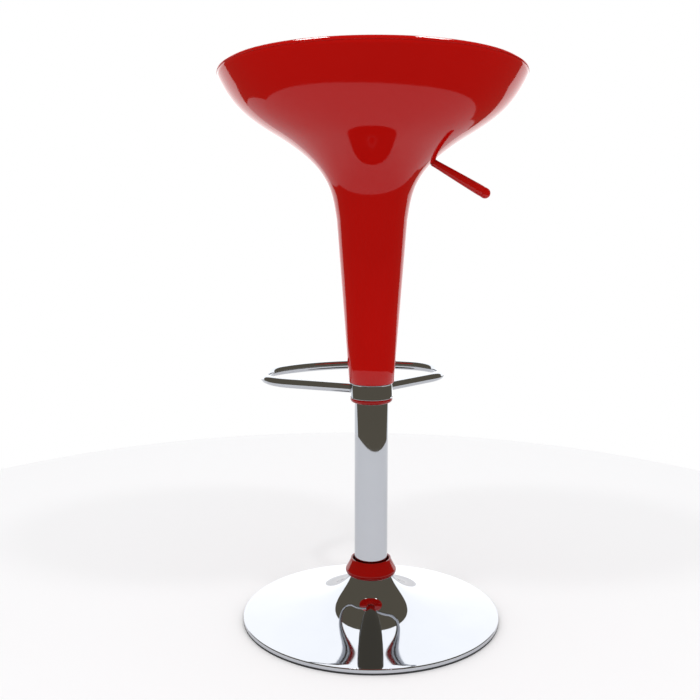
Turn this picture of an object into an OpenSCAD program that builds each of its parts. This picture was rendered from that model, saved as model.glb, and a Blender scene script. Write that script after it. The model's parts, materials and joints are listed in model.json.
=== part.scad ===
// Adjustable swivel bar stool, shown raised. Z = 0 is the floor, the sitter faces -Y.

/* [Base] */
// Outer diameter of the base
base_d = 390; // [330:5:460]
// Height of the base cover where it meets the column
base_rise = 68; // [50:1:90]
// Height of the upright edge of the base cover
rim_edge_h = 5.5; // [3:0.5:10]
// Sheet thickness of the base cover
cover_wall = 1.5; // [1:0.1:2.5]
// Height of the rubber ring under the base
floor_ring_h = 3; // [2:0.5:6]
// Width of the rubber ring
floor_ring_w = 12; // [8:1:20]
// How far the steel weight plate stays inside the edge of the base
plate_inset = 35; // [33:1:70]
// Thickness of the steel weight plate
plate_t = 5; // [3:0.5:8]
// Height of the welded sleeve that holds the column
hub_h = 44; // [25:1:46]
// Wall of the welded sleeve
hub_wall = 4; // [3:0.5:6]
// Width of the flange at the foot of the sleeve
hub_flange_w = 23; // [20:1:30]
// Thickness of that flange
hub_flange_t = 5; // [4:0.5:8]
// Number of base screws
base_screw_count = 4; // [3:1:6]
// Shank diameter of the base screws
base_screw_d = 6; // [4:0.5:8]
// Height of the red collar
collar_h = 28; // [16:1:40]
// How far the red collar stands out from the column
collar_bulge = 13.5; // [11:0.5:18]

/* [Column] */
// Outer diameter of the column tube
column_d = 50; // [40:1:60]
// Wall of the column tube
column_wall = 2; // [1.5:0.1:3]
// Length of column that stays inside the neck when the seat is raised
column_engage = 77; // [50:1:110]
// Thickness of the floor inside the column
column_floor_t = 5; // [3:0.5:8]
// Height of the column floor above the foot of the column
column_floor_lift = 13; // [10:1:18]
// Depth of the guide bush in the top of the column
column_bush_h = 35; // [20:1:60]

/* [Gas spring] */
// How far the seat goes down
lift_travel = 220; // [120:5:280]
// Gap left between the end bush and the collar at the lowest seat
low_gap = 22.5; // [10:0.5:40]
// Outer diameter of the gas cylinder
cylinder_d = 28; // [22:1:34]
// Wall of the gas cylinder
cylinder_wall = 2; // [1.5:0.1:3]
// Diameter of the piston rod
rod_d = 10; // [8:0.5:14]
// Thickness of the piston
piston_h = 10; // [6:1:16]
// Depth of the gland in the foot of the cylinder
gland_h = 22; // [14:1:30]
// Gap left over the buffer at the lowest seat
buffer_gap = 2; // [1:0.5:6]
// Height of the rubber buffer
buffer_h = 7; // [4:0.5:12]
// Diameter of the rubber buffer
buffer_d = 22; // [16:1:26]
// Thickness of each bearing race
race_t = 2; // [1.5:0.5:3]
// Outer diameter of the bearing races
race_d = 26; // [22:1:34]
// Diameter of the bearing balls
ball_d = 4; // [3:0.5:5]
// Number of bearing balls
ball_count = 10; // [6:1:12]
// Diameter of the release pin
release_pin_d = 8; // [6:0.5:10]
// How far the release pin stands out of the cylinder
release_pin_out = 9.7; // [6:0.1:14]

/* [Footrest] */
// Height of the clamp ring
ring_h = 22.8; // [18:0.2:34]
// Wall of the clamp ring
ring_wall = 3.55; // [3:0.05:6]
// Diameter of the footrest tube
loop_tube_d = 14.5; // [12:0.5:18]
// Wall of the footrest tube
loop_wall = 1.5; // [1:0.1:2.5]
// Reach from the column axis to the middle of the front arc
loop_reach = 214; // [150:1:240]
// Angle of each arm from the middle of the footrest
arm_angle = 57.7; // [40:0.1:70]
// Bend radius of the two corners
corner_bend = 66; // [25:1:75]
// Angle at which the footrest is clamped, from straight ahead
footrest_turn = 12; // [-30:1:30]
// Height of the flange of the end bush
bush_flange_h = 6.8; // [4:0.1:12]
// Length of the sleeve of the end bush inside the neck
bush_sleeve_h = 30; // [16:1:50]
// Wall of the sleeve of the end bush
bush_sleeve_wall = 3.3; // [2.5:0.1:4]

/* [Seat] */
// Width of the seat
seat_w = 439; // [380:1:530]
// Depth of the seat from back to front
seat_d = 372; // [310:1:450]
// Depth of the bowl at its sides
bowl_depth = 96; // [70:1:120]
// How far the back of the rim rises above its sides
back_rise = 25; // [0:1:40]
// How far the front of the rim drops below its sides
front_drop = 33; // [0:1:45]
// Wall of the outer shell
shell_wall = 3; // [2:0.1:4]
// Wall of the inner bowl
bowl_wall = 3; // [2:0.1:4]
// Thickness of the solid middle of the bowl
bowl_pad_t = 11.8; // [10:0.1:16]
// Diameter of the flat middle of the bowl
bowl_pad_d = 150; // [110:1:180]
// Height of the rolled lip of the bowl
lip_h = 5; // [4:0.1:7]
// Wall at the bottom of the neck
neck_wall = 4.85; // [4:0.05:9]
// Diameter at the top of the neck
neck_top_d = 102.8; // [96:0.2:120]
// Diameter of the shell where its flare is flattest
flare_d = 274; // [220:1:320]
// How far that place lies above the bowl's floor
flare_lift = 7.7; // [4:0.1:12]

/* [Lever] */
// Diameter of the lever rod
lever_d = 8; // [6:0.5:10]
// Distance of the lever pivot from the stool axis
pivot_x = 45; // [30:1:60]
// Distance of the bend in the lever from the stool axis
lever_bend_x = 78.6; // [70:0.1:84]
// Slope of the outer end of the lever
lever_slope = 30; // [15:1:40]
// Length of the lever beyond its bend
lever_out = 105; // [80:1:130]
// Length of the grip
grip_l = 96; // [70:1:100]
// Diameter of the grip at the shell
grip_root_d = 11; // [10:0.5:13]
// Diameter of the grip near its tip
grip_tip_d = 16; // [13:0.5:20]
// Diameter of the pivot pin
pivot_pin_d = 6; // [4:0.5:8]

/* [Mechanism] */
// Side of the square seat plate
seat_plate_w = 120; // [100:1:130]
// Thickness of the seat plate
seat_plate_t = 3; // [2:0.5:4]
// Height of the taper socket
socket_h = 35; // [25:1:50]
// Wall of the taper socket
socket_wall = 5; // [3:0.5:8]
// Gap between the column and the socket at the lowest seat
socket_gap = 5; // [3:0.5:12]
// Clear height inside the lever bracket
bracket_gap = 17; // [15:0.5:24]
// Width of the lever bracket
bracket_w = 46; // [36:1:60]
// Sheet thickness of the lever bracket
bracket_t = 3; // [2:0.5:4]
// Shank diameter of the plate screws
plate_screw_d = 5; // [4:0.5:6]
// Distance between the plate screws
plate_screw_pitch = 96; // [80:1:100]

/* [Hidden] */
$fn = 96;

red = [0.66, 0.03, 0.03];
chrome = [0.82, 0.83, 0.85];
steel = [0.55, 0.56, 0.58];
black = [0.06, 0.06, 0.06];

slip = 0.05;   // radial running fit
seat_fit = 0.1;   // gap between pieces that seat in each other
air = 0.3;   // gap between pieces that pass each other
seat_segments = 64;   // facets round the seat
cover_gap = 8;   // gap between the column and the hole in the base cover
spigot_h = 3;   // head of the bush over the end of the column tube
neck_above = 41;   // how far the socket stands above the top of the neck
pin_inside = 10;   // length of the release pin inside the cylinder
pin_bore = 16;   // depth of its bore
clip_t = 1.5;   // thickness of the rod clip
clip_drop = 4;   // how far the clip sits below the column floor
tip_solid = 8;   // solid end of the grip beyond the rod

base_r = base_d / 2;
column_r = column_d / 2;
column_bore_r = column_r - column_wall;
cylinder_r = cylinder_d / 2;
rod_r = rod_d / 2;
lever_r = lever_d / 2;
tube_r = loop_tube_d / 2;

// Heights, from the floor up, with the seat raised
plate_z = floor_ring_h + 1;
hub_z = plate_z + plate_t;
collar_z = base_rise - 2;
collar_top = collar_z + collar_h;
bush_z = collar_top + low_gap + lift_travel;
ring_z = bush_z + bush_flange_h;
neck_z = ring_z + ring_h;
column_top = ring_z + column_engage;
socket_z = column_top + lift_travel + socket_gap;
web_z = socket_z + socket_h;
seat_plate_z = web_z + bracket_t + bracket_gap;
lever_z = web_z + bracket_t + bracket_gap / 2 - 0.5;
pad_z = seat_plate_z + seat_plate_t + seat_fit;
bowl_z = pad_z + bowl_pad_t;
rim_z = bowl_z + bowl_depth;
neck_top_z = socket_z - neck_above;

// Foot of the gas spring
column_z = hub_z + slip;
floor_z = column_z + column_floor_lift;
race_z = floor_z + column_floor_t;
ball_z = race_z + race_t;
upper_race_z = ball_z + ball_d;
buffer_z = upper_race_z + race_t;
buffer_top = buffer_z + buffer_h;
cylinder_z = buffer_top + buffer_gap + lift_travel;
piston_z = cylinder_z + gland_h + 6;
pin_top = lever_z - lever_r - air;
cylinder_top = pin_top - release_pin_out;
rod_foot = floor_z - 7;

// Outlines
function mix(a, b, t) = a + (b - a) * t;
function ease(a, b, x) = let (t = min(1, max(0, (x - a) / (b - a)))) t * t * (3 - 2 * t);
function bezier(p, t) = pow(1 - t, 3) * p[0] + 3 * pow(1 - t, 2) * t * p[1]
    + 3 * (1 - t) * t * t * p[2] + pow(t, 3) * p[3];
function slope(p, t) = 3 * (pow(1 - t, 2) * (p[1] - p[0]) + 2 * (1 - t) * t * (p[2] - p[1])
    + t * t * (p[3] - p[2]));
function curve(p, steps) = [for (i = [0:steps]) bezier(p, i / steps)];
function shifted(p, t, d) = let (s = slope(p, t), n = norm(s)) bezier(p, t) + d * [-s[1], s[0]] / n;
function reversed(list) = [for (i = [len(list) - 1:-1:0]) list[i]];
function arc(c, r, a0, a1, steps) = [for (i = [0:steps]) let (a = mix(a0, a1, i / steps))
    c + r * [cos(a), sin(a)]];
function unit(v) = v / norm(v);

// Base cover: a trumpet from its upright edge to the hole round the column
cover_hole_r = column_r + cover_gap;
cover_skirt = [base_r * 0.564, base_rise * 0.295];
cover_throat = [cover_hole_r + 15, base_rise * 0.47];
cover_curve = [[base_r, floor_ring_h + rim_edge_h], cover_skirt, cover_throat, [cover_hole_r, base_rise]];
cover_steps = 24;

module base_cover() {
    outer = curve(cover_curve, cover_steps);
    inner = [for (i = [cover_steps:-1:0]) shifted(cover_curve, i / cover_steps, cover_wall)];
    color(chrome) rotate_extrude($fn = 128) polygon(concat(
        [[base_r - cover_wall, floor_ring_h], [base_r, floor_ring_h]], outer,
        [[cover_hole_r - cover_wall, base_rise]],
        [for (p = inner) [max(min(p[0], base_r - cover_wall), cover_hole_r - cover_wall), p[1]]]));
}

module floor_ring() {
    lip = cover_wall + seat_fit;
    color(black) rotate_extrude($fn = 128) polygon([[base_r - floor_ring_w, 0], [base_r - 1, 0],
        [base_r, 1], [base_r, floor_ring_h - seat_fit], [base_r - lip, floor_ring_h - seat_fit],
        [base_r - lip, floor_ring_h + 2], [base_r - lip - 2, floor_ring_h + 2],
        [base_r - lip - 2, floor_ring_h - seat_fit], [base_r - floor_ring_w, floor_ring_h - seat_fit]]);
}

hub_r = column_r + hub_wall;
hub_flange_r = hub_r + hub_flange_w;
base_screw_r = mix(hub_r, hub_flange_r, 0.55);

module around(count, r) {
    for (i = [0:count - 1]) rotate(360 * (i + 0.5) / count) translate([r, 0, 0]) children();
}

module base_plate() {
    color(steel) translate([0, 0, plate_z]) difference() {
        cylinder(r = base_r - plate_inset, h = plate_t, $fn = 128);
        translate([0, 0, -1]) cylinder(r = column_bore_r - 1, h = plate_t + 2);
        around(base_screw_count, base_screw_r) translate([0, 0, -1])
            cylinder(d = base_screw_d + 2 * seat_fit, h = plate_t + 2, $fn = 32);
    }
}

module base_hub() {
    color(steel) translate([0, 0, hub_z]) difference() {
        union() {
            cylinder(r = hub_flange_r, h = hub_flange_t);
            cylinder(r = hub_r, h = hub_h);
        }
        translate([0, 0, -1]) cylinder(r = column_r + slip, h = hub_h + 2);
        around(base_screw_count, base_screw_r) translate([0, 0, -1])
            cylinder(d = base_screw_d + 2 * seat_fit, h = hub_flange_t + 2, $fn = 32);
    }
}

module base_screws() {
    head_h = 2.5;
    color(steel) around(base_screw_count, base_screw_r) {
        translate([0, 0, plate_z - head_h - slip]) cylinder(d = base_screw_d * 1.8, h = head_h, $fn = 6);
        translate([0, 0, plate_z - 1]) cylinder(d = base_screw_d, h = plate_t + hub_flange_t + 2, $fn = 32);
        translate([0, 0, hub_z + hub_flange_t + slip]) cylinder(d = base_screw_d * 1.8, h = 5, $fn = 6);
    }
}

module base_collar() {
    r = column_r + collar_bulge;
    inner_r = column_r + 2.5;
    seat_r = column_r + 0.5;
    color(red) translate([0, 0, collar_z]) rotate_extrude() polygon(concat(
        [[seat_r, 2.5], [cover_hole_r, 2.5]],
        arc([r - 7, 9], 7, -70, 40, 8),
        curve([[r - 1.7, 13.6], [r - 4, 18], [r - 8, collar_h - 3], [inner_r + 2.6, collar_h]], 8),
        [[inner_r + 1, collar_h], [inner_r, collar_h - 1.2], [inner_r, collar_h - 8],
            [seat_r, collar_h - 10]]));
}

// Column
module column_tube() {
    tube_top = column_top - spigot_h;
    color(chrome) difference() {
        translate([0, 0, column_z]) cylinder(r = column_r, h = tube_top - column_z);
        translate([0, 0, column_z - 1]) cylinder(r = column_bore_r, h = tube_top - column_z + 2);
    }
}

module washer(r_out, r_in, h) {
    difference() {
        cylinder(r = r_out, h = h);
        translate([0, 0, -1]) cylinder(r = r_in, h = h + 2);
    }
}

module column_floor() {
    color(steel) translate([0, 0, floor_z]) washer(column_bore_r - slip, rod_r + slip, column_floor_t);
}

module column_bush() {
    color(black) translate([0, 0, column_top - column_bush_h]) difference() {
        union() {
            cylinder(r = column_bore_r - slip, h = column_bush_h - spigot_h + slip);
            translate([0, 0, column_bush_h - spigot_h + slip])
                cylinder(r = column_r - 0.5, h = spigot_h - slip);
        }
        translate([0, 0, -1]) cylinder(r = cylinder_r + slip, h = column_bush_h + 2);
    }
}

// Swivel bearing at the foot of the rod
ball_ring_r = (rod_r + race_d / 2) / 2;

module bearing_lower_race() {
    color(steel) translate([0, 0, race_z]) washer(race_d / 2, rod_r + seat_fit, race_t - 0.02);
}

module bearing_balls() {
    color(steel) around(ball_count, ball_ring_r) translate([0, 0, ball_z + ball_d / 2])
        sphere(d = ball_d - 0.08, $fn = 32);
}

module ball_cage() {
    color(black) translate([0, 0, ball_z + ball_d * 0.3]) difference() {
        washer(ball_ring_r + ball_d * 0.7, ball_ring_r - ball_d * 0.7, ball_d * 0.4);
        around(ball_count, ball_ring_r) translate([0, 0, -1]) cylinder(d = ball_d + 0.2, h = ball_d, $fn = 32);
    }
}

module bearing_upper_race() {
    color(steel) translate([0, 0, upper_race_z]) washer(race_d / 2, rod_r + slip, race_t);
}

module rod_buffer() {
    color(black) translate([0, 0, buffer_z + slip]) washer(buffer_d / 2, rod_r + slip, buffer_h - slip);
}

module rod_washer() {
    color(steel) translate([0, 0, floor_z - 2]) washer(race_d / 2 - 3, rod_r + slip, 2 - slip);
}

clip_groove_r = rod_r - 1;

module rod_clip() {
    color(steel) translate([0, 0, floor_z - clip_drop]) difference() {
        washer(rod_r + 4, clip_groove_r + slip, clip_t);
        translate([0, -clip_groove_r, -1]) cube([rod_r + 6, 2 * clip_groove_r, clip_t + 2]);
    }
}

module piston_rod() {
    color(chrome) difference() {
        translate([0, 0, rod_foot]) cylinder(r = rod_r, h = piston_z + piston_h + 4 - rod_foot);
        translate([0, 0, floor_z - clip_drop - slip]) washer(rod_r + 2, clip_groove_r, clip_t + 2 * slip);
    }
}

module piston() {
    color(black) translate([0, 0, piston_z]) washer(cylinder_r - cylinder_wall - slip, rod_r + slip, piston_h);
}

// Gas spring
module gas_cylinder() {
    head_h = 24;
    color(black) difference() {
        translate([0, 0, cylinder_z]) cylinder(r = cylinder_r, h = cylinder_top - cylinder_z);
        translate([0, 0, cylinder_z - 1])
            cylinder(r = cylinder_r - cylinder_wall, h = cylinder_top - head_h - cylinder_z + 1);
        translate([0, 0, cylinder_top - pin_bore])
            cylinder(r = release_pin_d / 2 + slip, h = pin_bore + 1, $fn = 48);
    }
}

module cylinder_gland() {
    color(black) translate([0, 0, cylinder_z + 0.5])
        washer(cylinder_r - cylinder_wall - slip, rod_r + slip, gland_h - 0.5);
}

module release_pin() {
    color(steel) translate([0, 0, cylinder_top - pin_inside])
        cylinder(d = release_pin_d, h = pin_inside + release_pin_out, $fn = 48);
}

// Seat mechanism
module taper_socket() {
    color(steel) translate([0, 0, socket_z]) washer(cylinder_r + socket_wall, cylinder_r + slip, socket_h);
}

bracket_x = pivot_x + 18;

module lever_bracket() {
    inner_w = bracket_w - 2 * bracket_t;
    color(steel) difference() {
        translate([-bracket_x, -bracket_w / 2, web_z + slip])
            cube([bracket_x + 30, bracket_w, seat_plate_z - web_z - 2 * slip]);
        translate([-bracket_x - 1, -inner_w / 2, web_z + bracket_t])
            cube([bracket_x + 32, inner_w, bracket_gap + 10]);
        translate([0, 0, web_z - 1]) cylinder(r = cylinder_r + slip, h = bracket_t + 2);
        translate([-pivot_x, -bracket_w, lever_z]) rotate([-90, 0, 0])
            cylinder(d = pivot_pin_d + 2 * slip, h = 2 * bracket_w, $fn = 48);
    }
}

module at_plate_screws() {
    for (x = [-1, 1], y = [-1, 1]) translate([x * plate_screw_pitch / 2, y * plate_screw_pitch / 2, 0]) children();
}

module seat_plate() {
    half = seat_plate_w / 2;
    corner = 12;
    color(steel) translate([0, 0, seat_plate_z]) difference() {
        union() {
            translate([-half + corner, -half, 0]) cube([2 * (half - corner), 2 * half, seat_plate_t]);
            translate([-half, -half + corner, 0]) cube([2 * half, 2 * (half - corner), seat_plate_t]);
            for (x = [-1, 1], y = [-1, 1]) translate([x * (half - corner), y * (half - corner), 0])
                cylinder(r = corner, h = seat_plate_t, $fn = 48);
        }
        at_plate_screws() translate([0, 0, -1])
            cylinder(d = plate_screw_d + 2 * seat_fit, h = seat_plate_t + 2, $fn = 32);
    }
}

module plate_screws() {
    color(steel) at_plate_screws() {
        translate([0, 0, seat_plate_z - 3 - slip]) cylinder(d = plate_screw_d * 1.9, h = 3, $fn = 32);
        translate([0, 0, seat_plate_z - 1])
            cylinder(d = plate_screw_d, h = 1 + seat_plate_t + bowl_pad_t * 0.7, $fn = 32);
    }
}

module pivot_pin() {
    head_d = pivot_pin_d + 4;
    color(steel) translate([-pivot_x, 0, lever_z]) rotate([-90, 0, 0]) {
        translate([0, 0, -bracket_w / 2 - 1]) cylinder(d = pivot_pin_d, h = bracket_w + 2, $fn = 48);
        for (end = [-bracket_w / 2 - 2, bracket_w / 2 + slip]) translate([0, 0, end])
            cylinder(d = head_d, h = 2 - slip, $fn = 48);
    }
}

// Lever: level over the release pin, then down through the slot in the shell
module along_lever() {
    translate([-lever_bend_x, 0, lever_z]) rotate([0, -90 - lever_slope, 0]) children();
}

module lever_rod() {
    hub_r = pivot_pin_d / 2 + 3.5;
    hub_w = bracket_w - 2 * bracket_t - 1;
    color(steel) difference() {
        union() {
            translate([-lever_bend_x, 0, lever_z]) rotate([0, 90, 0])
                cylinder(r = lever_r, h = lever_bend_x + release_pin_d / 2 + 2, $fn = 48);
            translate([-lever_bend_x, 0, lever_z]) sphere(r = lever_r, $fn = 48);
            along_lever() cylinder(r = lever_r, h = lever_out - tip_solid, $fn = 48);
            translate([-pivot_x, -hub_w / 2, lever_z]) rotate([-90, 0, 0])
                cylinder(r = hub_r, h = hub_w, $fn = 48);
        }
        translate([-pivot_x, -bracket_w / 2, lever_z]) rotate([-90, 0, 0])
            cylinder(d = pivot_pin_d + 2 * slip, h = bracket_w, $fn = 48);
    }
}

module lever_grip() {
    root = lever_out - grip_l;
    tip_r = grip_tip_d / 2;
    tip_z = lever_out - tip_r;
    color(red) along_lever() rotate_extrude($fn = 48) polygon(concat(
        [[lever_r + slip, root], [grip_root_d / 2, root], [grip_root_d / 2, root + 8],
            [tip_r, tip_z - 4]],
        arc([0, tip_z], tip_r, 0, 90, 10),
        [[0, lever_out - tip_solid + slip], [lever_r + slip, lever_out - tip_solid + slip]]));
}

// Outer shell of the seat. Its outline is straight up the neck, flares out and then turns up to the rim.
shell_rim_r = seat_w / 2 - 0.8;
shell_rim_z = rim_z - lip_h;
neck_bore_r = column_r + slip + bush_sleeve_wall + seat_fit;
neck_r = neck_bore_r + neck_wall;
neck_top_r = neck_top_d / 2;
flare_p = [flare_d / 2, bowl_z + flare_lift];
neck_dir = unit([0.15, 1]);
flare_dir = unit([1.7, 1]);
rim_dir = unit([0.46, 1]);
neck_pull = 44.5;   // the pulls are the handle lengths of the two curves
flare_pull = 88.7;
wall_pull = 45.9;
rim_pull = 47;
flare_curve = [[neck_top_r, neck_top_z], [neck_top_r, neck_top_z] + neck_pull * neck_dir,
    flare_p - flare_pull * flare_dir, flare_p];
wall_curve = [flare_p, flare_p + wall_pull * flare_dir,
    [shell_rim_r, shell_rim_z] - rim_pull * rim_dir, [shell_rim_r, shell_rim_z]];

neck_steps = 4;
flare_steps = 20;
wall_steps = 12;
shell_neck = [for (i = [0:neck_steps - 1]) let (t = i / neck_steps)
    [mix(neck_r, neck_top_r, t), mix(neck_z, neck_top_z, t)]];
shell_inner_neck = [for (p = shell_neck) [max(neck_bore_r, p[0] - shell_wall), p[1]]];
shell_outer = concat(shell_neck, curve(flare_curve, flare_steps),
    [for (i = [1:wall_steps]) bezier(wall_curve, i / wall_steps)]);
shell_path = concat(shell_outer,
    [for (i = [wall_steps:-1:1]) shifted(wall_curve, i / wall_steps, shell_wall)],
    [for (i = [flare_steps:-1:0]) shifted(flare_curve, i / flare_steps, shell_wall)],
    reversed(shell_inner_neck));

// The plan goes from round at the neck to the seat's own depth at the rim, and the rim rises at the back
rim_tilt = (back_rise + front_drop) / 2;
rim_mid = (back_rise - front_drop) / 2;
round_r = 60;   // radius up to which the plan stays round
function rim_rise(a) = rim_tilt * sin(a) + rim_mid * pow(sin(a), 2);
function plan_scale(r) = mix(1, seat_d / seat_w, ease(round_r, seat_w / 2, r));
function seat_point(p, a) = [p[0] * cos(a), p[0] * sin(a) * plan_scale(p[0]),
    p[1] + rim_rise(a) * ease(bowl_z, rim_z, p[1])];

// The lever leaves through a slot between two rings of the shell
function above_lever(p) = p[1] - (lever_z - (p[0] - lever_bend_x) * tan(lever_slope));
slot_low = max([for (i = [0:len(shell_outer) - 1]) if (above_lever(shell_outer[i]) < -9) i]);
slot_high = min([for (i = [slot_low:len(shell_outer) - 1]) if (above_lever(shell_outer[i]) > 13) i]);
slot_left = seat_segments / 2 - 1;
slot_right = seat_segments / 2 + 1;

module seat_shell() {
    n = len(shell_path);
    m = seat_segments;
    points = [for (p = shell_path, j = [0:m - 1]) seat_point(p, 360 * j / m)];
    in_slot = function (i, j) j >= slot_left && j < slot_right
        && ((i >= slot_low && i < slot_high) || (n - 2 - i >= slot_low && n - 2 - i < slot_high));
    skin = [for (i = [0:n - 1], j = [0:m - 1]) let (k = (i + 1) % n, l = (j + 1) % m)
        if (!in_slot(i, j)) [i * m + j, k * m + j, k * m + l, i * m + l]];
    ends = [for (j = [slot_left:slot_right - 1], end = [[slot_low, 0, 1], [slot_high, 1, 0]])
        let (i = end[0], a = j + end[1], b = j + end[2])
        [i * m + a, (n - 1 - i) * m + a, (n - 1 - i) * m + b, i * m + b]];
    sides = [for (i = [slot_low:slot_high - 1], side = [[slot_left, 1, 0], [slot_right, 0, 1]])
        let (j = side[0], a = i + side[1], b = i + side[2])
        [a * m + j, (n - 1 - a) * m + j, (n - 1 - b) * m + j, b * m + j]];
    color(red) polyhedron(points, concat(skin, ends, sides));
}

// Inner bowl, with a solid flat middle that the mechanism screws into and a rolled lip over the shell
pad_r = bowl_pad_d / 2;
lip_r = 1.7;
bowl_edge = [seat_w / 2 - 7.2, rim_z - 3];
bowl_curve = [[pad_r, bowl_z], [pad_r + 45, bowl_z], bowl_edge - [32, 62], bowl_edge];
bowl_steps = 12;
bowl_path = concat(curve(bowl_curve, bowl_steps),
    arc(bowl_edge + [2, 1], 2, 150, 90, 2),
    arc([seat_w / 2 - lip_r, rim_z - lip_r], lip_r, 90, -90, 5),
    [[bowl_edge[0] + bowl_wall + 0.2, rim_z - 2 * lip_r]],
    [for (i = [bowl_steps:-1:0]) shifted(bowl_curve, i / bowl_steps, -bowl_wall)],
    [[pad_r - 2, pad_z]]);

module seat_bowl() {
    n = len(bowl_path);
    m = seat_segments;
    points = concat([for (p = bowl_path, j = [0:m - 1]) seat_point(p, 360 * j / m)],
        [[0, 0, bowl_z], [0, 0, pad_z]]);
    skin = [for (i = [0:n - 2], j = [0:m - 1]) let (l = (j + 1) % m)
        [i * m + j, i * m + l, (i + 1) * m + l, (i + 1) * m + j]];
    middle = [for (j = [0:m - 1]) let (l = (j + 1) % m) [n * m, l, j]];
    under = [for (j = [0:m - 1]) let (l = (j + 1) % m) [n * m + 1, (n - 1) * m + j, (n - 1) * m + l]];
    color(red) polyhedron(points, concat(skin, middle, under));
}

// End bush: a flange under the clamp ring and a sleeve up into the neck
sleeve_r = column_r + slip + bush_sleeve_wall;
ring_bore_r = sleeve_r + seat_fit;
ring_r = ring_bore_r + ring_wall;

module end_bush() {
    flange_r = ring_r - 0.5;
    color(red) translate([0, 0, bush_z]) rotate_extrude() polygon(concat(
        [[column_r + slip, 0.8], [column_r + 0.9, 0]],
        curve([[column_r + 2, 0], [flange_r - 2.2, 0], [flange_r, 1.6], [flange_r, bush_flange_h - 2]], 8),
        [[flange_r, bush_flange_h - slip], [sleeve_r, bush_flange_h - slip],
            [sleeve_r, bush_flange_h + ring_h + bush_sleeve_h],
            [column_r + slip, bush_flange_h + ring_h + bush_sleeve_h]]));
}

module at_ring_screw() {
    translate([0, 0, ring_z + ring_h / 2]) rotate([0, 0, footrest_turn - 90]) rotate([0, 90, 0]) children();
}

ring_screw_d = 5;

ring_groove = 0.7;

module footrest_ring() {
    bead = 2.2;
    groove = ring_groove;
    h = ring_h - slip;
    color(chrome) difference() {
        translate([0, 0, ring_z]) rotate_extrude() polygon([[ring_bore_r, 0], [ring_r - 0.6, 0],
            [ring_r, 0.6], [ring_r, bead], [ring_r - groove, bead + groove],
            [ring_r - groove, h - bead - groove], [ring_r, h - bead], [ring_r, h - 0.6],
            [ring_r - 0.6, h], [ring_bore_r, h]]);
        at_ring_screw() cylinder(d = ring_screw_d + 2 * slip, h = ring_r + 1, $fn = 48);
    }
}

module ring_screw() {
    length = ring_r - ring_bore_r - 1;
    color(steel) at_ring_screw() translate([0, 0, ring_bore_r + slip]) difference() {
        cylinder(d = ring_screw_d, h = length, $fn = 48);
        translate([0, 0, length / 2]) cylinder(d = ring_screw_d / 2, h = length, $fn = 6);
    }
}

// Footrest: two arms, two bends and a front arc round the column's axis
bend_centre = loop_reach - corner_bend;
bend_turn = asin(corner_bend / bend_centre);
arc_angle = arm_angle - bend_turn;

arm_start = ring_r - 6;
arm_end = bend_centre * cos(bend_turn);

tube_step = 0.05;   // how much thinner the straight and front runs are than the bends they enter
tube_entry = 1;   // how far they enter

module tube_section(step = 0) {
    difference() {
        circle(r = tube_r - step, $fn = 48);
        circle(r = tube_r - loop_wall + step, $fn = 48);
    }
}

module footrest_loop() {
    entry_angle = asin(tube_entry / loop_reach);
    color(chrome) translate([0, 0, ring_z + ring_h / 2]) rotate(footrest_turn - 90) difference() {
        union() {
            rotate(-arc_angle - entry_angle) rotate_extrude(angle = 2 * (arc_angle + entry_angle), $fn = 180)
                translate([loop_reach, 0]) tube_section(tube_step);
            for (side = [-1, 1]) {
                rotate(side * arm_angle) translate([arm_start, 0, 0]) rotate([0, 90, 0])
                    linear_extrude(arm_end + tube_entry - arm_start) tube_section(tube_step);
                rotate(side * arc_angle) translate([bend_centre, 0, 0])
                    rotate(side < 0 ? -90 - bend_turn : 0)
                    rotate_extrude(angle = 90 + bend_turn, $fn = 96)
                    translate([corner_bend, 0]) tube_section();
            }
        }
        translate([0, 0, -ring_h]) cylinder(r = ring_r - ring_groove + slip, h = 2 * ring_h);
    }
}

base_cover();
floor_ring();
base_plate();
base_hub();
base_screws();
base_collar();
column_tube();
column_floor();
column_bush();
bearing_lower_race();
ball_cage();
bearing_balls();
bearing_upper_race();
rod_buffer();
rod_washer();
rod_clip();
piston_rod();
piston();
gas_cylinder();
cylinder_gland();
release_pin();
taper_socket();
lever_bracket();
seat_plate();
plate_screws();
pivot_pin();
lever_rod();
lever_grip();
seat_shell();
seat_bowl();
end_bush();
footrest_ring();
footrest_loop();
ring_screw();
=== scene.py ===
import json
import math

import bmesh
import bpy
from bpy.props import FloatProperty, FloatVectorProperty, IntProperty, PointerProperty
from bpy.types import Operator, Panel, PropertyGroup
from mathutils import Matrix, Vector
from mathutils.geometry import interpolate_bezier


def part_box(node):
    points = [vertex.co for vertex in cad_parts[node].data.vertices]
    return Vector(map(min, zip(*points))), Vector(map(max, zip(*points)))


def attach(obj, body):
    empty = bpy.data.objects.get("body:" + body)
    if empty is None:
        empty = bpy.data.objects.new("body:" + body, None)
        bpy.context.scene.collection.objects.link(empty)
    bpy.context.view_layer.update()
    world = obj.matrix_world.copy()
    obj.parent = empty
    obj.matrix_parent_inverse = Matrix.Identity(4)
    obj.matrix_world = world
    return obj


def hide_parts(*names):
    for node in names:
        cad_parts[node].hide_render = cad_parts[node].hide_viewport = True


bl_info = {
    "name": "Swivel Stool Builder",
    "version": (1, 0, 0),
    "blender": (4, 5, 0),
    "location": "View3D > Sidebar > Stool",
    "description": "Builds the finished surfaces of an adjustable swivel stool around its frame",
    "category": "Object",
}

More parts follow.
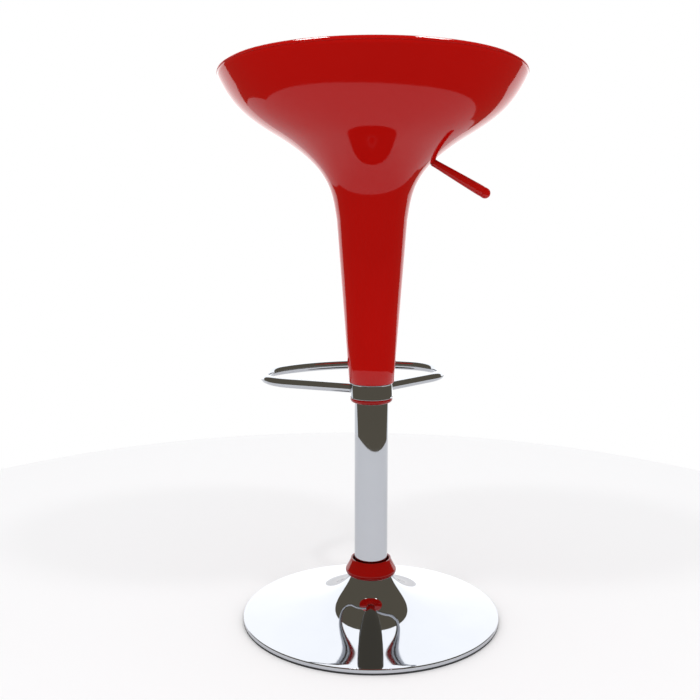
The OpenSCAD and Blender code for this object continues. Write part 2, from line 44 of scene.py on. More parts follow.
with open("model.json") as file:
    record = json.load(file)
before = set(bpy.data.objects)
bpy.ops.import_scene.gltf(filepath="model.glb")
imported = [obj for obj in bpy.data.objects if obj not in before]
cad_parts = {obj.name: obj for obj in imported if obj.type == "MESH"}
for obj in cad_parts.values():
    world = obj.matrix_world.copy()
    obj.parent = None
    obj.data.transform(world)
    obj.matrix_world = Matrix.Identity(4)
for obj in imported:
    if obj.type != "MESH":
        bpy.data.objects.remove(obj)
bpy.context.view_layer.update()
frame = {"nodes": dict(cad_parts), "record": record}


def low(node):
    """Lowest corner of a node of the frame."""
    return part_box(node)[0]


def high(node):
    """Highest corner of a node of the frame."""
    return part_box(node)[1]


COLUMN_R = high("column_tube").x
FLOOR_RING_TOP = low("base_cover").z
BASE_R = high("base_cover").x
BASE_TOP = high("base_cover").z
RING_Z = low("footrest_ring").z
NECK_Z = low("seat_shell").z
SEAT_R = high("seat_bowl").x
PLATE_TOP = high("seat_plate").z


class StoolSizes(PropertyGroup):
    """Sizes of the surfaces that are built around the frame."""

    neck_r: FloatProperty(
        name="Neck radius", description="Radius at the foot of the neck", default=0.0333, unit="LENGTH")
    neck_top_r: FloatProperty(
        name="Neck top radius", description="Radius where the flare starts", default=0.0514, unit="LENGTH")
    shell_wall: FloatProperty(
        name="Shell wall", description="Wall of the outer shell", default=0.003, unit="LENGTH")
    bowl_wall: FloatProperty(
        name="Bowl wall", description="Wall of the inner bowl", default=0.003, unit="LENGTH")
    bowl_pad_t: FloatProperty(
        name="Bowl middle", description="Thickness of the middle of the bowl", default=0.0118, unit="LENGTH")
    bowl_depth: FloatProperty(
        name="Bowl depth", description="Depth of the bowl at its sides", default=0.096, unit="LENGTH")
    back_rise: FloatProperty(
        name="Back rise", description="Rise of the rim at the back", default=0.025, unit="LENGTH")
    front_drop: FloatProperty(
        name="Front drop", description="Drop of the rim at the front", default=0.033, unit="LENGTH")
    lip_h: FloatProperty(
        name="Lip height", description="Height of the rolled lip", default=0.005, unit="LENGTH")
    tube_r: FloatProperty(
        name="Footrest tube radius", description="Radius of the footrest tube",
        default=0.00725, unit="LENGTH")
    loop_reach: FloatProperty(
        name="Footrest reach", description="Column axis to the middle of the front arc",
        default=0.214, unit="LENGTH")
    corner_bend: FloatProperty(
        name="Corner bend", description="Bend radius of the two corners", default=0.066, unit="LENGTH")
    arm_angle: FloatProperty(
        name="Arm angle", description="Angle of each arm from the middle of the footrest",
        default=math.radians(57.7), subtype="ANGLE", unit="ROTATION")
    footrest_turn: FloatProperty(
        name="Footrest turn", description="Angle at which the footrest is clamped",
        default=math.radians(12), subtype="ANGLE", unit="ROTATION")
    lever_slope: FloatProperty(
        name="Lever slope", description="Slope of the outer end of the lever",
        default=math.radians(30), subtype="ANGLE", unit="ROTATION")
    grip_l: FloatProperty(
        name="Grip length", description="Length of the grip", default=0.096, unit="LENGTH")
    seat_steps: IntProperty(
        name="Seat steps", description="Steps round the seat", default=160, min=48, max=240)


class StoolColours(PropertyGroup):
    """Colours of the finishes."""

    red: FloatVectorProperty(
        name="Red", description="Moulded red plastic", subtype="COLOR", default=(0.455, 0.0022, 0.0012))
    deep_red: FloatVectorProperty(
        name="Deep red", description="Darker patches in the red", subtype="COLOR",
        default=(0.40, 0.0016, 0.0010))
    chrome: FloatVectorProperty(
        name="Chrome", description="Chrome plate", subtype="COLOR", default=(0.54, 0.56, 0.60))
    zinc: FloatVectorProperty(
        name="Zinc", description="Zinc plated steel", subtype="COLOR", default=(0.52, 0.51, 0.48))
    rubber: FloatVectorProperty(
        name="Rubber", description="Black rubber", subtype="COLOR", default=(0.018, 0.018, 0.02))
    nylon: FloatVectorProperty(
        name="Nylon", description="Black nylon", subtype="COLOR", default=(0.03, 0.03, 0.032))
    paint: FloatVectorProperty(
        name="Black paint", description="Black powder coat", subtype="COLOR", default=(0.02, 0.02, 0.022))
    floor: FloatVectorProperty(
        name="Floor", description="Pale studio floor", subtype="COLOR", default=(0.93, 0.93, 0.94))


# Shader nodes

class Value:
    """A number in a node tree. Arithmetic on it adds Math nodes."""

    def __init__(self, kit, socket):
        self.kit, self.socket = kit, socket

    def calc(self, operation, first, second):
        return self.kit.add("ShaderNodeMath", {"operation": operation}, {0: first, 1: second}, "Value")

    def __radd__(self, other):
        return self.calc("ADD", self, other)

    def __mul__(self, other):
        return self.calc("MULTIPLY", self, other)


class Kit:
    """Adds nodes to one tree."""

    def __init__(self, tree):
        self.tree = tree
        tree.nodes.clear()

    def add(self, kind, settings=None, inputs=None, output=0):
        """Adds a node: its settings first, then the values or links of its sockets."""
        node = self.tree.nodes.new(kind)
        for name, value in (settings or {}).items():
            setattr(node, name, value)
        for name, value in (inputs or {}).items():
            if isinstance(value, Value):
                self.tree.links.new(value.socket, node.inputs[name])
            else:
                node.inputs[name].default_value = value
        return Value(self, node.outputs[output]) if node.outputs else node

    def coords(self, stretch=(1, 1, 1)):
        place = self.add("ShaderNodeTexCoord", output="Object")
        return self.add("ShaderNodeMapping", {"vector_type": "POINT"}, {"Vector": place, "Scale": stretch})

    def noise(self, scale, detail=2.0, stretch=(1, 1, 1)):
        return self.add("ShaderNodeTexNoise", inputs={
            "Vector": self.coords(stretch), "Scale": scale, "Detail": detail, "Roughness": 0.55})

    def mix(self, factor, first, second):
        return self.add("ShaderNodeMix", {"data_type": "RGBA"}, {
            "Factor": factor, 6: (*first, 1), 7: (*second, 1)}, 2)

    def bump(self, height, strength, distance):
        return self.add("ShaderNodeBump", inputs={
            "Height": height, "Strength": strength, "Distance": distance})

    def surface(self, **inputs):
        shader = self.add("ShaderNodeBsdfPrincipled", inputs={
            name.replace("_", " "): value for name, value in inputs.items()}, output="BSDF")
        self.add("ShaderNodeOutputMaterial", inputs={"Surface": shader})


def new_material(name):
    material = bpy.data.materials.new(name)
    material.use_nodes = True
    return material, Kit(material.node_tree)


def shade(colour, amount):
    """A colour made lighter or darker."""
    return tuple(min(1.0, c * amount) for c in colour)


def red_plastic(name, light, dark):
    """Moulded gloss plastic: a slow drift in tone, a faint orange peel and fine wipe marks in the gloss."""
    material, kit = new_material(name)
    tone = kit.noise(7, 3)
    wipe = kit.noise(28, 4, (1, 1, 0.25))
    peel = kit.noise(420, 1)
    kit.surface(
        Base_Color=kit.mix(tone, light, dark),
        Roughness=0.035 + wipe * 0.05,
        IOR=1.38,
        Normal=kit.bump(peel, 0.05, 0.0001))
    return material


def chrome_plate(colours):
    """Chrome plate: mirror bright, with a haze that varies a little and the faintest ripple."""
    material, kit = new_material("chrome_plate")
    haze = kit.noise(18, 4)
    ripple = kit.noise(11, 2)
    kit.surface(
        Base_Color=kit.mix(haze, colours.chrome, shade(colours.chrome, 0.94)),
        Metallic=1.0,
        Roughness=0.012 + haze * 0.03,
        Normal=kit.bump(ripple, 0.03, 0.001))
    return material


def zinc_steel(colours):
    """Zinc plated steel with a fine grain and cloudy patches."""
    material, kit = new_material("zinc_plated_steel")
    cloud = kit.noise(60, 4)
    grain = kit.noise(900, 2)
    kit.surface(
        Base_Color=kit.mix(cloud, colours.zinc, shade(colours.zinc, 0.75)),
        Metallic=1.0,
        Roughness=0.25 + cloud * 0.25,
        Normal=kit.bump(grain, 0.15, 0.0001))
    return material


def matte_black(name, colour, roughness, grain_scale, grain_depth):
    """Black rubber, nylon or powder coat: a grain of its own scale over a slightly uneven black."""
    material, kit = new_material(name)
    patch = kit.noise(40, 3)
    grain = kit.noise(grain_scale, 2)
    kit.surface(
        Base_Color=kit.mix(patch, colour, shade(colour, 1.8)),
        Roughness=roughness + patch * 0.15,
        Normal=kit.bump(grain, 0.3, grain_depth))
    return material


FINISHES = {}
# How much darker the collars' red is: a painted shade for the less light that falls on them, not a different
# plastic.
COLLAR_PAINTED_SHADE = 0.62


def finishes():
    """The finishes by the name of their slot in the record, and a darker copy of the red for the collars,
    painted shade for the dimmer light on them.
    """
    if not FINISHES:
        colours = bpy.context.scene.stool_colours
        FINISHES.update({
            "red_shell": red_plastic("red_gloss_plastic", colours.red, colours.deep_red),
            # The same red plastic made darker for the collars: painted shade.
            "red_collar_painted_shade": red_plastic(
                "red_plastic_painted_shade", shade(colours.red, COLLAR_PAINTED_SHADE), shade(colours.deep_red, COLLAR_PAINTED_SHADE)),
            "chrome_plate": chrome_plate(colours),
            "zinc_steel": zinc_steel(colours),
            "black_rubber": matte_black("black_rubber", colours.rubber, 0.6, 300, 0.0003),
            "black_nylon": matte_black("black_nylon", colours.nylon, 0.4, 600, 0.0001),
            "black_paint": matte_black("black_powder_coat", colours.paint, 0.35, 1100, 0.0002)})
    return FINISHES


# Shapes

def bezier(first, handle_1, handle_2, last, steps):
    """Points of a curve in (radius, height)."""
    knots = [Vector((p[0], p[1], 0)) for p in (first, handle_1, handle_2, last)]
    return [(p.x, p.y) for p in interpolate_bezier(*knots, steps)]


def arc(centre, radius, start, end, steps):
    """Points of an arc in (radius, height). Angles are in degrees."""
    angles = [math.radians(start + (end - start) * i / steps) for i in range(steps + 1)]
    return [(centre[0] + radius * math.cos(a), centre[1] + radius * math.sin(a)) for a in angles]


def ease(start, end, x):
    t = min(1.0, max(0.0, (x - start) / (end - start)))
    return t * t * (3 - 2 * t)


def turned(outline, steps, closed=True):
    """An outline in (radius, height) spun round the Z axis."""
    bm = bmesh.new()
    verts = [bm.verts.new((r, 0, z)) for r, z in outline]
    pairs = list(zip(verts, verts[1:]))
    if closed:
        pairs.append((verts[-1], verts[0]))
    edges = [bm.edges.new(pair) for pair in pairs]
    bmesh.ops.spin(bm, geom=verts + edges, cent=(0, 0, 0), axis=(0, 0, 1), angle=2 * math.pi,
                   steps=steps, use_merge=True, use_duplicate=False)
    bmesh.ops.remove_doubles(bm, verts=bm.verts, dist=1e-6)
    bmesh.ops.recalc_face_normals(bm, faces=bm.faces)
    return bm


def face_out(bm):
    """Turns an open surface round the Z axis so that its faces look away from the axis."""
    sides = [f for f in bm.faces if abs(f.normal.z) < 0.8]
    facing = sum(f.normal.x * f.calc_center_median().x + f.normal.y * f.calc_center_median().y
                 for f in sides)
    if facing < 0:
        bmesh.ops.reverse_faces(bm, faces=bm.faces)


def piece(bm, name, body, slot, *nodes, crease=35, finish=None):
    """Makes the object, gives it its finish and ties it to its body."""
    mesh = bpy.data.meshes.new(name)
    bm.to_mesh(mesh)
    bm.free()
    mesh.shade_smooth()
    mesh.set_sharp_from_angle(angle=math.radians(crease))
    mesh.materials.append(finishes()[finish or slot])
    obj = bpy.data.objects.new(name, mesh)
    bpy.context.scene.collection.objects.link(obj)
    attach(obj, body)
    if nodes:
        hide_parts(*nodes)
    return obj


# Seat

DEPTH_TO_WIDTH = 372 / 439
ROUND_R = 0.060
PAD_GAP = 0.0001


class SeatForm:
    """The seat's plan and rim: round at the neck, oval at the rim, higher at the back."""

    def __init__(self, sizes):
        self.floor = PLATE_TOP + PAD_GAP + sizes.bowl_pad_t
        self.rim = self.floor + sizes.bowl_depth
        self.depth_share = DEPTH_TO_WIDTH
        self.tilt = (sizes.back_rise + sizes.front_drop) / 2
        self.middle = (sizes.back_rise - sizes.front_drop) / 2
        self.round_r = ROUND_R

    def place(self, co):
        r = math.hypot(co.x, co.y)
        back = co.y / r if r > 1e-9 else 0.0
        share = 1 + (self.depth_share - 1) * ease(self.round_r, SEAT_R, r)
        rise = (self.tilt * back + self.middle * back * back) * ease(self.floor, self.rim, co.z)
        return Vector((co.x, co.y * share, co.z + rise))

    def shape(self, bm):
        for vert in bm.verts:
            vert.co = self.place(vert.co)


class STOOL_OT_seat_shell(Operator):
    """Builds the outer shell of the seat, with the slot that the lever leaves through"""

    bl_idname = "stool.seat_shell"
    bl_label = "Seat Shell"

    def execute(self, context):
        sizes = context.scene.stool_sizes
        form = SeatForm(sizes)
        rim = (SEAT_R - 0.0002, form.rim - sizes.lip_h)
        turn = (0.137, form.floor + 0.0077)
        foot = (sizes.neck_top_r, low("taper_socket").z - 0.041)
        start, flare, end = (Vector((run, 1)).normalized() for run in (0.15, 1.7, 0.46))
        neck_pull, flare_pull, wall_pull, rim_pull = 0.0445, 0.0887, 0.0459, 0.047
        outline = [(sizes.neck_r - 0.0006, NECK_Z), (sizes.neck_r, NECK_Z + 0.0008)]
        outline += [(sizes.neck_r + (sizes.neck_top_r - sizes.neck_r) * i / 10,
                     NECK_Z + (foot[1] - NECK_Z) * i / 10) for i in range(1, 10)]
        outline += bezier(foot, Vector(foot) + neck_pull * start, Vector(turn) - flare_pull * flare, turn, 40)
        outline += bezier(turn, Vector(turn) + wall_pull * flare, Vector(rim) - rim_pull * end, rim, 28)[1:]
        bm = turned(outline, sizes.seat_steps, closed=False)
        face_out(bm)
        form.shape(bm)
        self.cut_slot(bm)
        obj = piece(bm, "seat_shell_skin", "seat", "red_shell", "seat_shell")
        wall = obj.modifiers.new("wall", "SOLIDIFY")
        wall.thickness, wall.offset, wall.use_even_offset = sizes.shell_wall, -1, True
        return {"FINISHED"}

    def cut_slot(self, bm):
        """Opens the slot round the grip where it passes through the wall."""
        middle_z = high("lever_grip").z - 0.0065
        half, below, above = math.radians(4.6), 0.0085, 0.0105
        faces = [f for f in bm.faces
                 if f.calc_center_median().x < 0
                 and abs(math.atan2(f.calc_center_median().y, -f.calc_center_median().x)) < half
                 and -below < f.calc_center_median().z - middle_z < above]
        if not faces:
            raise RuntimeError("the lever slot met no faces of the shell")
        bmesh.ops.delete(bm, geom=faces, context="FACES")


class STOOL_OT_seat_bowl(Operator):
    """Builds the inner bowl with its rolled lip and solid middle"""

    bl_idname = "stool.seat_bowl"
    bl_label = "Seat Bowl"

    def execute(self, context):
        sizes = context.scene.stool_sizes
        form = SeatForm(sizes)
        pad_r, lip_r = 0.075, 0.0044
        edge = Vector((SEAT_R - 0.0071, form.rim - 0.003))
        curve = [(pad_r, form.floor), (pad_r + 0.045, form.floor), edge - Vector((0.032, 0.062)), edge]
        inner = [(0, form.floor), (pad_r * 0.5, form.floor)] + bezier(*curve, 40)
        lip = arc(edge + Vector((0.002, 0.001)), 0.002, 150, 90, 5)
        lip += arc((SEAT_R - 0.0054, form.rim - 0.0012), 0.0012, 90, 62, 3)
        lip += arc((SEAT_R + 0.0001 - 0.0085, form.rim - 0.0080), 0.0088, 62, 22, 12)[1:]
        lip += arc((SEAT_R + 0.0001 - lip_r, form.rim - lip_r), lip_r, 14, 0, 3)
        lip += [(SEAT_R + 0.0001, form.rim - sizes.lip_h + 0.0003),
                (SEAT_R - 0.0001, form.rim - sizes.lip_h + 0.0001),
                (edge.x + sizes.bowl_wall + 0.0002, form.rim - sizes.lip_h + 0.0001)]
        under = self.underside(inner[2:], sizes.bowl_wall)
        foot = [(pad_r - 0.002, PLATE_TOP + PAD_GAP), (0, PLATE_TOP + PAD_GAP)]
        bm = turned(inner + lip + under + foot, sizes.seat_steps, closed=False)
        form.shape(bm)
        bmesh.ops.recalc_face_normals(bm, faces=bm.faces)
        piece(bm, "seat_bowl_liner", "seat", "red_shell", "seat_bowl")
        return {"FINISHED"}

    def underside(self, curve, wall):
        """The curve again, one wall below it, from the rim to the middle."""
        points = []
        for before, here, after in zip(curve, curve[1:], curve[2:]):
            along = (Vector(after) - Vector(before)).normalized()
            points.append(Vector(here) + wall * Vector((along.y, -along.x)))
        return [tuple(p) for p in reversed(points)]


class STOOL_OT_lever(Operator):
    """Builds the grip of the lever"""

    bl_idname = "stool.lever"
    bl_label = "Lever"

    def execute(self, context):
        sizes = context.scene.stool_sizes
        length, tip_r, root_r = sizes.grip_l, 0.008, 0.0055
        tip = length - tip_r
        outline = [(0.0041, 0), (root_r - 0.0006, 0), (root_r, 0.0006), (root_r, 0.008)]
        outline += bezier((root_r, 0.008), (root_r + 0.0008, 0.028), (tip_r - 0.0008, 0.050),
                          (tip_r - 0.0001, tip - 0.010), 12)[1:]
        outline += [(tip_r - 0.0001, tip - 0.0050), (tip_r - 0.0004, tip - 0.0046),
                    (tip_r - 0.0004, tip - 0.0038), (tip_r - 0.0001, tip - 0.0034)]
        outline += arc((0, tip), tip_r, 0, 90, 12)
        outline += [(0, length - 0.008), (0.0041, length - 0.008)]
        bm = turned(outline, 48)
        bend = Matrix.Rotation(-math.pi / 2 - sizes.lever_slope, 4, "Y")
        grip_low = low("lever_grip")
        along = Vector((-math.cos(sizes.lever_slope), 0, -math.sin(sizes.lever_slope)))
        end = Vector((grip_low.x + tip_r, 0, grip_low.z + tip_r))
        root = end - along * tip
        bmesh.ops.transform(bm, matrix=Matrix.Translation(root) @ bend, verts=bm.verts)
        piece(bm, "lever_grip_handle", "lever", "red_shell", "lever_grip", crease=40)
        return {"FINISHED"}


# Footrest

class STOOL_OT_footrest(Operator):
    """Builds the footrest tube, its clamp ring and the ring's set screw"""

    bl_idname = "stool.footrest"
    bl_label = "Footrest"

    def execute(self, context):
        sizes = context.scene.stool_sizes
        self.tube(sizes)
        self.ring()
        self.screw(sizes)
        return {"FINISHED"}

    def tube(self, sizes):
        """One tube: out along an arm, round a bend, along the front, round a bend and back."""
        level = (low("footrest_ring").z + high("footrest_ring").z) / 2
        facing = sizes.footrest_turn - math.pi / 2
        reach = sizes.loop_reach - sizes.corner_bend
        bend_turn = math.asin(sizes.corner_bend / reach)
        arm_end = reach * math.cos(bend_turn)
        arm_start = high("footrest_ring").x - 0.0022
        first = facing - sizes.arm_angle
        last = facing + sizes.arm_angle

        def at(angle, distance):
            return Vector((math.cos(angle) * distance, math.sin(angle) * distance, level))

        bm = bmesh.new()
        upright = Matrix.Rotation(first, 4, "Z") @ Matrix.Rotation(math.pi / 2, 4, "Y")
        ring = bmesh.ops.create_circle(bm, cap_ends=False, segments=32, radius=sizes.tube_r,
                                       matrix=Matrix.Translation(at(first, arm_start)) @ upright)
        edges = list({e for v in ring["verts"] for e in v.link_edges})
        edges = self.straight(bm, edges, at(first, arm_end) - at(first, arm_start))
        edges = self.bend(bm, edges, at(first + bend_turn, reach), math.pi / 2 + bend_turn, 36)
        edges = self.bend(bm, edges, (0, 0, level), 2 * (sizes.arm_angle - bend_turn), 64)
        edges = self.bend(bm, edges, at(last - bend_turn, reach), math.pi / 2 + bend_turn, 36)
        self.straight(bm, edges, at(last, arm_start) - at(last, arm_end))
        bmesh.ops.remove_doubles(bm, verts=bm.verts, dist=1e-6)
        bmesh.ops.holes_fill(bm, edges=bm.edges, sides=0)
        bmesh.ops.recalc_face_normals(bm, faces=bm.faces)
        for angle in (first, last):
            self.weld(bm, sizes, at(angle, high("footrest_ring").x - 0.0006), angle)
        piece(bm, "footrest_loop_tube", "seat", "chrome_plate", "footrest_loop")

    def straight(self, bm, edges, run):
        grown = bmesh.ops.extrude_edge_only(bm, edges=edges)["geom"]
        bmesh.ops.translate(bm, vec=run, verts=[g for g in grown if isinstance(g, bmesh.types.BMVert)])
        ends = {g for g in grown if isinstance(g, bmesh.types.BMVert)}
        return [g for g in grown if isinstance(g, bmesh.types.BMEdge) and set(g.verts) <= ends]

    def bend(self, bm, edges, centre, angle, steps):
        verts = list({v for e in edges for v in e.verts})
        grown = bmesh.ops.spin(bm, geom=verts + edges, cent=centre, axis=(0, 0, 1), angle=angle,
                               steps=steps, use_merge=False, use_duplicate=False)["geom_last"]
        return [g for g in grown if isinstance(g, bmesh.types.BMEdge)]

    def weld(self, bm, sizes, centre, angle):
        """A bead of weld where the tube meets the ring."""
        bead = bmesh.new()
        section = [bead.verts.new((sizes.tube_r + 0.0002 + r, 0, z))
                   for r, z in arc((0, 0), 0.0013, 0, 315, 7)]
        edges = [bead.edges.new(pair) for pair in zip(section, section[1:] + section[:1])]
        bmesh.ops.spin(bead, geom=section + edges, cent=(0, 0, 0), axis=(0, 0, 1), angle=2 * math.pi,
                       steps=32, use_merge=True, use_duplicate=False)
        bmesh.ops.recalc_face_normals(bead, faces=bead.faces)
        place = Matrix.Translation(centre) @ Matrix.Rotation(angle, 4, "Z") @ Matrix.Rotation(
            math.pi / 2, 4, "Y")
        bmesh.ops.transform(bead, matrix=place, verts=bead.verts)
        mesh = bpy.data.meshes.new("bead")
        bead.to_mesh(mesh)
        bead.free()
        bm.from_mesh(mesh)
        bpy.data.meshes.remove(mesh)

    def ring(self):
        """The clamp ring, with a rolled bead at each edge."""
        outer = high("footrest_ring").x
        bore = outer - 0.0035
        bottom, top = low("footrest_ring").z, high("footrest_ring").z
        bead, waist = 0.0009, outer - 0.0008
        outline = [(bore, bottom)]
        outline += arc((outer - bead, bottom + bead), bead, -90, 60, 7)
        outline += [(waist, bottom + rise * bead) for rise in (2.4, 2.7, 3.2)]
        outline += [(waist, top - rise * bead) for rise in (3.2, 2.7, 2.4)]
        outline += arc((outer - bead, top - bead), bead, -60, 90, 7)
        outline += [(bore, top)]
        piece(turned(outline, 128), "footrest_ring_band", "seat", "chrome_plate", "footrest_ring")

    def screw(self, sizes):
        """The set screw, with its hexagon socket."""
        low_corner, high_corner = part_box("ring_screw")
        bm = bmesh.new()
        bmesh.ops.create_cone(bm, cap_ends=True, segments=6, radius1=0.0026, radius2=0.0026, depth=0.0030)
        caps = [f for f in bm.faces if f.normal.z > 0.9]
        bmesh.ops.inset_region(bm, faces=caps, thickness=0.0012, depth=0)
        inner = [f for f in bm.faces if f.normal.z > 0.9 and f.calc_area() < 8e-6]
        bmesh.ops.inset_region(bm, faces=inner, thickness=0.0001, depth=-0.0012)
        facing = sizes.footrest_turn - math.pi / 2
        middle = Vector((math.cos(facing), math.sin(facing), 0)) * (high("footrest_ring").x - 0.0021)
        middle.z = (low_corner.z + high_corner.z) / 2
        place = Matrix.Translation(middle) @ Matrix.Rotation(facing, 4, "Z") @ Matrix.Rotation(
            math.pi / 2, 4, "Y")
        bmesh.ops.transform(bm, matrix=place, verts=bm.verts)
        piece(bm, "ring_set_screw", "seat", "zinc_steel", "ring_screw", crease=20)


# Collars

class STOOL_OT_collars(Operator):
    """Builds the end bush under the clamp ring and the collar at the foot of the column"""

    bl_idname = "stool.collars"
    bl_label = "Collars"

    def execute(self, context):
        self.end_bush()
        self.base_collar()
        return {"FINISHED"}

    def end_bush(self):
        bottom, flange_top = low("end_bush").z, RING_Z - 0.0001
        top = high("end_bush").z
        bore = COLUMN_R + 0.0001
        flange = high("end_bush").x
        outline = [(bore, bottom + 0.0008), (bore + 0.0008, bottom)]
        outline += bezier((COLUMN_R + 0.002, bottom), (flange - 0.0022, bottom),
                          (flange, bottom + 0.0016), (flange, flange_top - 0.0012), 14)
        outline += [(flange - 0.0005, flange_top), (COLUMN_R + 0.00335, flange_top),
                    (COLUMN_R + 0.00335, top), (bore, top)]
        # The end bush takes the darker red, a painted shade.
        piece(turned(outline, 128), "end_bush_lip", "seat", "red_shell", "end_bush", finish="red_collar_painted_shade")

    def base_collar(self):
        bottom, top = low("base_collar").z, high("base_collar").z
        widest = high("base_collar").x
        bulge, bore = 0.007, COLUMN_R + 0.0025
        seat = COLUMN_R + 0.0005
        centre = (widest - bulge, bottom + 0.0066)
        outline = [(seat, bottom + 0.0001), (COLUMN_R + 0.008, bottom + 0.0001)]
        outline += arc(centre, bulge, -70, 40, 14)
        outline += bezier((widest - 0.0017, centre[1] + 0.0046), (widest - 0.004, centre[1] + 0.009),
                          (widest - 0.008, top - 0.003), (bore + 0.0026, top), 14)[1:]
        outline += arc((bore + 0.0013, top - 0.0013), 0.0013, 90, 180, 5)
        outline += [(bore, top - 0.008), (seat, top - 0.010)]
        # The base collar takes the darker red, a painted shade.
        piece(turned(outline, 128), "base_collar_ring", "base", "red_shell", "base_collar",
              finish="red_collar_painted_shade")


# Column and base

class STOOL_OT_column(Operator):
    """Builds the column tube"""

    bl_idname = "stool.column"
    bl_label = "Column"

    def execute(self, context):
        bottom, top = low("column_tube").z, high("column_tube").z
        wall, edge = 0.002, 0.0004
        outline = [(COLUMN_R - wall, bottom), (COLUMN_R - edge, bottom), (COLUMN_R, bottom + edge)]
        outline += [(COLUMN_R, bottom + (top - bottom) * i / 12) for i in range(1, 12)]
        outline += [(COLUMN_R, top - edge), (COLUMN_R - edge, top), (COLUMN_R - wall, top)]
        piece(turned(outline, 160), "column_sleeve", "base", "chrome_plate", "column_tube")
        return {"FINISHED"}


class STOOL_OT_base(Operator):
    """Builds the trumpet cover of the base and the rubber ring under it"""

    bl_idname = "stool.base"
    bl_label = "Base"

    def execute(self, context):
        self.cover()
        self.rubber()
        return {"FINISHED"}

    def cover(self):
        wall, hem = 0.0015, 0.0016
        shoulder = FLOOR_RING_TOP + 0.0055
        hole = COLUMN_R + 0.008
        rise = BASE_TOP
        curve = [(BASE_R - hem, shoulder + 0.0001), (BASE_R * 0.564, rise * 0.295),
                 (COLUMN_R + 0.023, rise * 0.47), (hole, rise)]
        outer = bezier(*curve, 64)
        inner = [(max(r - wall * 0.35, hole - wall), z - wall) for r, z in outer]
        inner[-1] = (hole - wall, rise)
        outline = [(BASE_R - wall, FLOOR_RING_TOP), (BASE_R, FLOOR_RING_TOP)]
        outline += arc((BASE_R - hem, shoulder - hem), hem, 0, 80, 7)
        outline += outer[1:]
        outline += [inner[-1]] + [p for p in reversed(inner[:-1]) if p[0] < BASE_R - 2 * hem]
        outline += [(BASE_R - wall, shoulder - 2 * wall)]
        piece(turned(outline, 192), "base_cover_trumpet", "base", "chrome_plate", "base_cover")

    def rubber(self):
        width, top, lip = 0.012, FLOOR_RING_TOP - 0.0001, 0.0016
        outline = [(BASE_R - width, 0.0), (BASE_R - 0.001, 0.0)]
        outline += arc((BASE_R - 0.001, 0.001), 0.001, -60, 0, 4)
        outline += [(BASE_R, top), (BASE_R - lip, top), (BASE_R - lip, top + 0.002),
                    (BASE_R - lip - 0.002, top + 0.002), (BASE_R - lip - 0.002, top),
                    (BASE_R - width, top)]
        piece(turned(outline, 192), "floor_ring_rubber", "base", "black_rubber", "floor_ring")


class STOOL_OT_inner_parts(Operator):
    """Gives every part of the frame that stays its own finish"""

    bl_idname = "stool.inner_parts"
    bl_label = "Inner Parts"

    def execute(self, context):
        for part in frame["record"]["subparts"]:
            node = frame["nodes"][part["node"]]
            node.data.materials.clear()
            node.data.materials.append(finishes()[part["material_slot"]])
        return {"FINISHED"}


# Stage

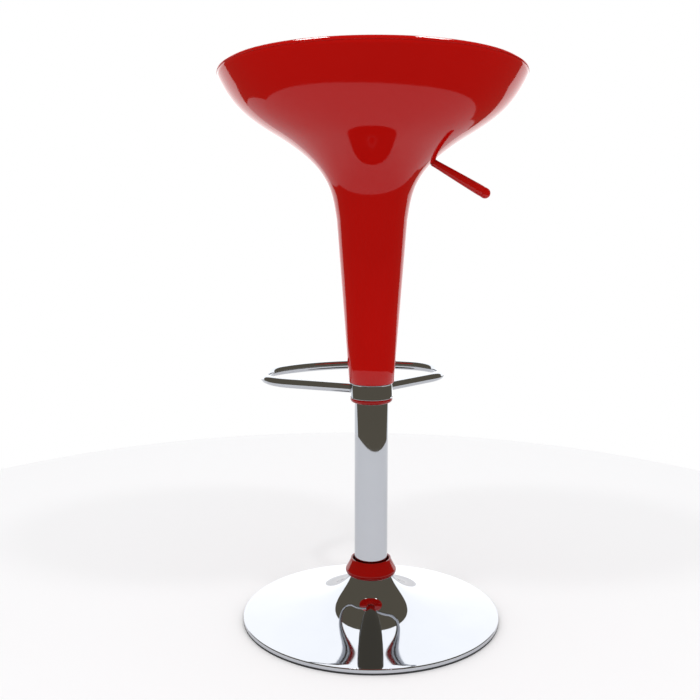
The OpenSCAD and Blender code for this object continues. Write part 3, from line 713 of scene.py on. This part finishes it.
class STOOL_OT_stage(Operator):
    """Builds the turntable, the backdrop, the lights and the camera"""

    bl_idname = "stool.stage"
    bl_label = "Stage"

    def execute(self, context):
        colours = context.scene.stool_colours
        self.floor(colours)
        self.backdrop()
        self.ground()
        self.panels()
        self.world(context.scene)
        self.lights()
        self.camera(context.scene)
        context.scene.view_settings.view_transform = "Standard"
        return {"FINISHED"}

    def prop(self, name, bm, material):
        mesh = bpy.data.meshes.new(name)
        bm.to_mesh(mesh)
        bm.free()
        mesh.materials.append(material)
        obj = bpy.data.objects.new(name, mesh)
        bpy.context.scene.collection.objects.link(obj)
        return obj

    def lit_prop(self, name, bm, strength, colour=(1, 1, 1, 1)):
        """A lit surface that is seen only in the gloss of the stool."""
        material, kit = new_material("lit_" + name)
        light = kit.add("ShaderNodeEmission", inputs={"Color": colour, "Strength": strength})
        kit.add("ShaderNodeOutputMaterial", inputs={"Surface": light})
        obj = self.prop(name, bm, material)
        obj.visible_camera = obj.visible_diffuse = obj.visible_shadow = False

    def floor(self, colours):
        """A round white turntable."""
        material, kit = new_material("studio_floor")
        kit.surface(Base_Color=(*colours.floor, 1), Roughness=0.9)
        bm = bmesh.new()
        bmesh.ops.create_circle(bm, cap_ends=True, segments=192, radius=1.1,
                                matrix=Matrix.Translation((0.04, -0.07, -0.0002)))
        self.prop("turntable", bm, material)

    def backdrop(self):
        """A half round backdrop far behind the stool."""
        bm = bmesh.new()
        bmesh.ops.create_circle(bm, cap_ends=True, segments=96, radius=2.1, matrix=Matrix.Rotation(
            math.pi / 2, 4, "X") @ Matrix.Translation((0, 0, 1.5)))
        bmesh.ops.bisect_plane(bm, geom=bm.verts[:] + bm.edges[:] + bm.faces[:], plane_co=(0, 0, 0),
                               plane_no=(0, 0, 1), clear_inner=True)
        self.lit_prop("backdrop", bm, 1.7)

    def ground(self):
        """White ground that runs on from the turntable to the backdrop."""
        bm = bmesh.new()
        bmesh.ops.create_circle(bm, cap_ends=True, segments=192, radius=1.15,
                                matrix=Matrix.Translation((0.25, -1.05, -0.0006)))
        self.lit_prop("ground", bm, 1.0, (0.97, 0.98, 1, 1))

    def panels(self):
        """Two small panels close over the seat, for the shine on its rim."""
        for name, middle in (("panel_left", 0.141), ("panel_right", -0.135)):
            bm = bmesh.new()
            bmesh.ops.create_grid(bm, x_segments=1, y_segments=1, size=0.042,
                                  matrix=Matrix.Translation((middle, 0.13, 1.005)))
            self.lit_prop(name, bm, 24.0)

    def world(self, scene):
        """White for the camera, soft white for light, and a dim room in the gloss."""
        world = bpy.data.worlds.new("studio")
        world.use_nodes = True
        kit = Kit(world.node_tree)
        rays = kit.add("ShaderNodeLightPath", output="Is Glossy Ray")
        seen = kit.add("ShaderNodeLightPath", output="Is Camera Ray")
        room = kit.add("ShaderNodeBackground", inputs={"Color": (0.140, 0.122, 0.090, 1), "Strength": 1.0})
        soft = kit.add("ShaderNodeBackground", inputs={"Color": (1, 1, 1, 1), "Strength": 0.90})
        white = kit.add("ShaderNodeBackground", inputs={"Color": (1, 1, 1, 1), "Strength": 1.0})
        light = kit.add("ShaderNodeMixShader", inputs={0: rays, 1: soft, 2: room})
        both = kit.add("ShaderNodeMixShader", inputs={0: seen, 1: light, 2: white})
        kit.add("ShaderNodeOutputWorld", inputs={"Surface": both})
        scene.world = world

    def lights(self):
        """Two soft boxes overhead."""
        aim = Vector((0, 0, 0.5))
        for name, side in (("softbox_left", 0.55), ("softbox_right", -0.55)):
            place = Vector((side, 0.65, 2.1))
            lamp = bpy.data.lights.new(name, "AREA")
            lamp.shape, lamp.size, lamp.energy = "SQUARE", 0.16, 5.0
            obj = bpy.data.objects.new(name, lamp)
            obj.location = place
            obj.visible_glossy = False
            obj.rotation_euler = (aim - place).to_track_quat("-Z", "Y").to_euler()
            bpy.context.scene.collection.objects.link(obj)

    def camera(self, scene):
        """Behind the stool, level with its middle and looking a little down."""
        lens = bpy.data.cameras.new("camera")
        lens.sensor_width, lens.lens = 36, 51.43
        obj = bpy.data.objects.new("camera", lens)
        obj.location = (0.0319, 1.4581, 0.6486)
        obj.rotation_euler = (math.radians(90 - 9.144), 0, math.pi)
        bpy.context.scene.collection.objects.link(obj)
        scene.camera = obj


class STOOL_PT_panel(Panel):
    """Lists the pieces of the stool"""

    bl_idname = "STOOL_PT_panel"
    bl_label = "Swivel Stool"
    bl_space_type = "VIEW_3D"
    bl_region_type = "UI"
    bl_category = "Stool"

    def draw(self, context):
        for operator in OPERATORS:
            self.layout.operator(operator.bl_idname)
        for group in (context.scene.stool_sizes, context.scene.stool_colours):
            box = self.layout.box()
            for name in group.__annotations__:
                box.prop(group, name)


OPERATORS = (
    STOOL_OT_stage, STOOL_OT_inner_parts, STOOL_OT_base, STOOL_OT_column, STOOL_OT_collars,
    STOOL_OT_footrest, STOOL_OT_seat_shell, STOOL_OT_seat_bowl, STOOL_OT_lever)
CLASSES = (StoolSizes, StoolColours) + OPERATORS + (STOOL_PT_panel,)


def register():
    for cls in CLASSES:
        bpy.utils.register_class(cls)
    bpy.types.Scene.stool_sizes = PointerProperty(type=StoolSizes)
    bpy.types.Scene.stool_colours = PointerProperty(type=StoolColours)


def unregister():
    del bpy.types.Scene.stool_sizes
    del bpy.types.Scene.stool_colours
    for cls in reversed(CLASSES):
        bpy.utils.unregister_class(cls)


def main():
    register()
    for operator in OPERATORS:
        group, name = operator.bl_idname.split(".")
        getattr(getattr(bpy.ops, group), name)()


if __name__ == "__main__":
    main()
